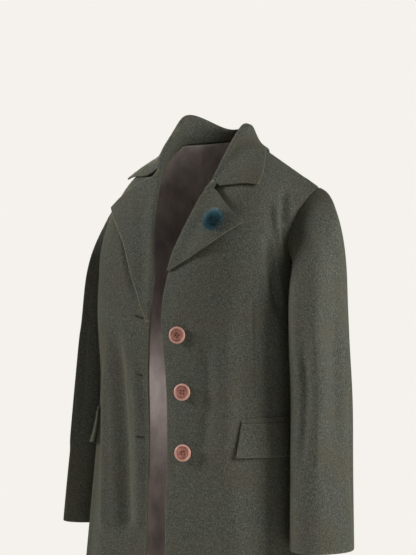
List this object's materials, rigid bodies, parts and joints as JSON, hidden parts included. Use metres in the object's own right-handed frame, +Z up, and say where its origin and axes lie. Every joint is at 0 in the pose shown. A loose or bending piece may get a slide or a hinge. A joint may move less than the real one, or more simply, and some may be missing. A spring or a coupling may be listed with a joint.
{
  "type": "coat",
  "caption": "Single-breasted tailored wool coat worn open, with notched collar and lapels, long set-in sleeves, flap pockets, satin lining and a round hair brooch.",
  "frame": {"origin": "middle of the neck opening, 28 mm below the neck ends of the shoulder seams, where a hanger, a stand or the wearer's neck holds the coat up", "axes": "+Z up, -Y out of the coat's front, +X to the wearer's left, the side that carries the buttons"},
  "size_m": [0.647, 0.3347, 1.0866],
  "materials": {
    "wool": "felted, dark olive grey, dry and softly napped",
    "lining": "smooth satin, taupe with a mauve cast",
    "button": "polished, reddish brown, lighter at the rim",
    "brooch": "dyed hair, dark teal with paler tips"
  },
  "bodies": {
    "root": {"left_front": "wool", "right_front": "wool", "back": "wool", "left_sleeve": "wool", "right_sleeve": "wool", "collar": "wool", "left_lapel": "wool", "right_lapel": "wool", "left_facing": "wool", "right_facing": "wool", "left_front_lining": "lining", "right_front_lining": "lining", "back_lining": "lining", "left_pocket_flap": "wool", "right_pocket_flap": "wool", "left_pocket_welt": "wool", "right_pocket_welt": "wool", "button_1": "button", "button_2": "button", "button_3": "button", "brooch": "brooch"}
  },
  "joints": []
}
